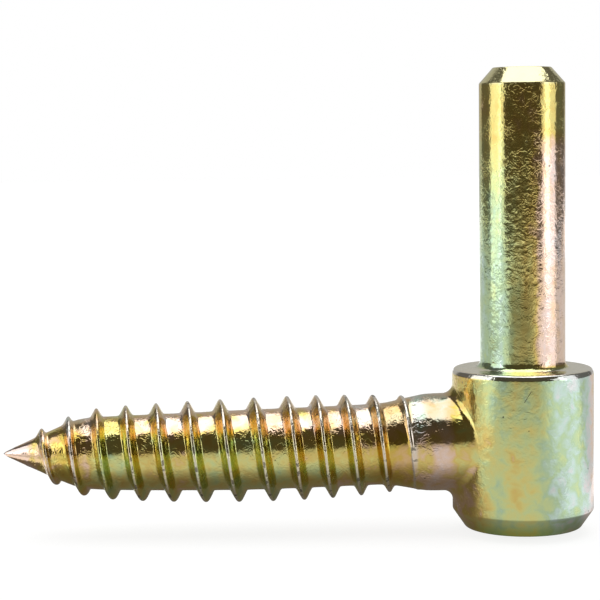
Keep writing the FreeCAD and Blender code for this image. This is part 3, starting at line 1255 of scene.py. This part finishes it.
SOFTBOXES = (
    Softbox("overhead", (0.0, 0.045, 0.615), (0.64, 0.73), 1.8),
    Softbox("left", (-0.35, -0.045, 0.12), (0.235, 0.3), 1.15),
    Softbox("right", (0.56, -0.21, 0.16), (0.52, 0.5), 0.9),
)
TO_SIDES = ((Fade(Axis.X, 25.0, 85.0), Shade.SIDE), (Fade(Axis.X, -85.0, -125.0), Shade.SIDE))
CARDS = (
    Card("front_card", Shade.DARK, (
        (-1.05, -0.75, -0.08), (1.05, -0.75, -0.08), (0.8, -0.36, 0.76), (-0.8, -0.36, 0.76),
    )),
    Card("front_gap", Shade.COPPER, (
        (0.15, -0.72, -0.08), (0.26, -0.72, -0.08), (0.26, -0.72, 0.2), (0.15, -0.72, 0.2),
    )),
    Card("front_low", Shade.LOW, (
        (-0.5, -0.72, -0.08), (0.14, -0.72, -0.08), (0.14, -0.72, -0.025), (-0.5, -0.72, -0.025),
    )),
    Card("front_low_right", Shade.LOW, (
        (0.14, -0.71, -0.08), (0.55, -0.71, -0.08), (0.55, -0.71, -0.008), (0.14, -0.71, -0.008),
    )),
    Card("sweep", Shade.PALE, (
        (-0.2, -0.055, -0.0308), (0.2, -0.055, -0.0308), (0.2, -0.14, 0.0), (-0.2, -0.14, 0.0),
    ), ((Fade(Axis.Y, -60.0, -150.0), Shade.FAR), *TO_SIDES)),
    Card("table_front", Shade.PALE, (
        (-0.2, -0.055, -0.0308), (0.2, -0.055, -0.0308), (0.2, -0.028, -0.0308), (-0.2, -0.028, -0.0308),
    ), TO_SIDES),
    # Painted shadow: this card fades from pale to dark under the part, standing in for the part's shadow on
    # the floor in reflections
    Card("table", Shade.PALE, (
        (-0.11, -0.028, -0.0308), (0.035, -0.028, -0.0308), (0.035, 0.03, -0.0308), (-0.11, 0.03, -0.0308),
    ), ((Fade(Axis.Y, -28.0, -3.0), Shade.PAINTED_SHADOW), (Fade(Axis.X, 8.0, 33.0), Shade.SIDE))),
    Card("left_floor", Shade.DIM, (
        (-0.9, -0.3, -0.0306), (-0.13, -0.3, -0.0306), (-0.13, 0.7, -0.0306), (-0.9, 0.7, -0.0306),
    )),
    Card("right_floor", Shade.DIM, (
        (0.04, 0.005, -0.0306), (0.9, 0.005, -0.0306), (0.9, 0.7, -0.0306), (0.04, 0.7, -0.0306),
    ), ((Fade(Axis.Y, 45.0, 5.0), Shade.SIDE),)),
    Card("roof", Shade.WALL, ((-1.3, -0.9, 1.3), (1.3, -0.9, 1.3), (1.3, 1.3, 1.3), (-1.3, 1.3, 1.3))),
    Card("left_wall", Shade.WALL, (
        (-0.85, -0.3, -0.08), (-0.85, 1.2, -0.08), (-0.85, 1.2, 1.3), (-0.85, -0.3, 1.3),
    )),
    Card("right_wall", Shade.WALL, (
        (0.85, -0.3, -0.08), (0.85, 1.2, -0.08), (0.85, 1.2, 1.3), (0.85, -0.3, 1.3),
    )),
    Card("back_wall", Shade.BACK, ((-1.2, 1.2, -0.08), (1.2, 1.2, -0.08), (1.2, 1.2, 1.3), (-1.2, 1.2, 1.3))),
)


@dataclass
class Studio:
    """Pale floor, white surround, one overhead and two side softboxes, cards and the camera.

    Lengths are in metres and angles in degrees. Brightness 1 is white.
    """

    lens: float = 114.0
    sensor: float = 36.0
    clip: tuple[float, float] = (0.01, 50.0)
    target: Point = (-0.041795, 0.0, 0.013291)
    distance: float = 0.35697
    pitch: float = 5.21
    roll: float = -0.7435
    lamps_aim: Point = (-0.02, 0.0, 0.0)
    floor_height: float = -0.0312
    floor_x: tuple[float, float] = (-1.6, 1.6)
    floor_y: tuple[float, float] = (-0.45, 2.4)
    floor_colour: Colour = (0.8, 0.8, 0.8)
    shadow_colour: Colour = (0.22, 0.22, 0.22)
    glow: float = 0.86
    glow_far: float = 0.15
    glow_reach: tuple[float, float] = (0.12, 0.45)
    white: Colour = (1.0, 1.0, 1.0)
    fill: float = 0.25

    def camera(self) -> None:
        """Camera at the photograph's angle: it looks along +Y, a little down, and leans a little."""
        data = bpy.data.cameras.new("camera")
        data.lens = self.lens
        data.sensor_width = self.sensor
        data.clip_start, data.clip_end = self.clip
        pitch, roll = math.radians(self.pitch), math.radians(self.roll)
        forward = Vector((0.0, math.cos(pitch), -math.sin(pitch)))
        level, up = Vector((1.0, 0.0, 0.0)), Vector((0.0, math.sin(pitch), math.cos(pitch)))
        right = math.cos(roll) * level + math.sin(roll) * up
        top = -math.sin(roll) * level + math.cos(roll) * up
        turn = Matrix((right, top, -forward)).transposed().to_4x4()
        made = linked("camera", data)
        made.matrix_world = Matrix.Translation(Vector(self.target) - self.distance * forward) @ turn
        bpy.context.scene.camera = made

    def softbox(self, box: Softbox) -> None:
        """Adds one lamp, turned to face the part and unseen by the camera.

        Args:
            box: The lamp.
        """
        data = bpy.data.lights.new(box.name, "AREA")
        data.shape = "RECTANGLE"
        data.size, data.size_y = box.size
        data.energy = box.level * math.pi * math.prod(box.size)
        made = linked(box.name, data)
        away = Vector(box.centre) - Vector(self.lamps_aim)
        made.rotation_euler = away.to_track_quat("Z", "Y").to_euler()
        made.location = box.centre
        made.visible_camera = False

    def staged(self, name: str, corners: tuple[Point, ...], material: bpy.types.Material) -> bpy.types.Object:
        """Flat piece of the studio, which isn't part of the object.

        Args:
            name: Name of the piece.
            corners: Its four corners in metres.
            material: Its material.

        Returns:
            The new piece.
        """
        mesh = bpy.data.meshes.new(name)
        mesh.from_pydata(corners, [], [(0, 1, 2, 3)])
        mesh.materials.append(material)
        made = linked(name, mesh)
        return made

    def card(self, card: Card) -> None:
        """Adds one card, which the camera, shadows and soft light don't see.

        Args:
            card: The card.
        """
        material, graph = blank_material(card.name)
        axes = graph.split(graph.node("ShaderNodeTexCoord", {}, out="Object"))
        colour = card.shade.value
        for fade, shade in card.fades:
            colour = graph.mix(fade.mask(axes), colour, shade.value)
        glow = graph.node("ShaderNodeEmission", {}, colour, 1.0)
        graph.node("ShaderNodeOutputMaterial", {}, Surface=glow)
        made = self.staged(card.name, card.corners, material)
        made.visible_camera = False
        made.visible_shadow = False
        made.visible_diffuse = False

    def floor(self) -> None:
        """Pale floor that camera and reflections see as white, with the part's shadow kept."""
        material, graph = blank_material("floor")
        pale = graph.node("ShaderNodeBsdfDiffuse", {}, self.floor_colour)
        faint = graph.node("ShaderNodeBsdfDiffuse", {}, self.shadow_colour)
        spot = graph.node("ShaderNodeTexCoord", {}, out="Object")
        far = graph.vector("LENGTH", spot).output("Value").step(*self.glow_reach)
        glow = graph.node("ShaderNodeEmission", {}, self.white, self.glow + far * self.glow_far)
        lit = graph.node("ShaderNodeAddShader", {}, faint, glow)
        mixed = graph.node("ShaderNodeMixShader", {}, graph.seen(), pale, lit)
        graph.node("ShaderNodeOutputMaterial", {}, Surface=mixed)
        (left, right), (front, back), z = self.floor_x, self.floor_y, self.floor_height
        corners = ((left, front, z), (right, front, z), (right, back, z), (left, back, z))
        self.staged("floor", corners, material)

    def world(self) -> None:
        """White surround for the camera and for reflections, and a soft fill for everything else."""
        world = bpy.data.worlds.new("surround")
        world.use_nodes = True
        graph = Graph(world.node_tree)
        strength = graph.seen() * (1.0 - self.fill) + self.fill
        surround = graph.node("ShaderNodeBackground", {}, self.white, strength)
        graph.node("ShaderNodeOutputWorld", {}, Surface=surround)
        bpy.context.scene.world = world

    def build(self) -> None:
        """Sets the whole studio up."""
        bpy.context.scene.view_settings.view_transform = "Standard"
        self.world()
        self.floor()
        self.camera()
        for box in SOFTBOXES:
            self.softbox(box)
        for card in CARDS:
            self.card(card)


@dataclass
class HingePin:
    """The whole part: pin, boss and screw as one surface in one finish."""

    screw: WoodScrew = field(default_factory=WoodScrew)
    head: PinAndBoss = field(default_factory=PinAndBoss)
    weld: float = 0.0008

    def build(self) -> bpy.types.Object:
        """Builds and dresses the part, and puts it in place of the CAD node.

        Returns:
            The finished piece.
        """
        skin = Skin()
        ring = self.screw.build(skin)
        self.head.build(skin, self.screw, ring)
        piece = skin.to_object("forged_pin", self.weld)
        piece.data.materials.append(YellowZinc(self.screw, self.head).material())
        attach(piece, "root")
        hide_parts(NODE)
        return piece


def main() -> None:
    """Builds the part and the studio."""
    logging.basicConfig(level=logging.INFO, format="%(name)s: %(message)s")
    piece = HingePin().build()
    LOG.info("%s rides on the root body", piece.name)
    Studio().build()


if __name__ == "__main__":
    main()
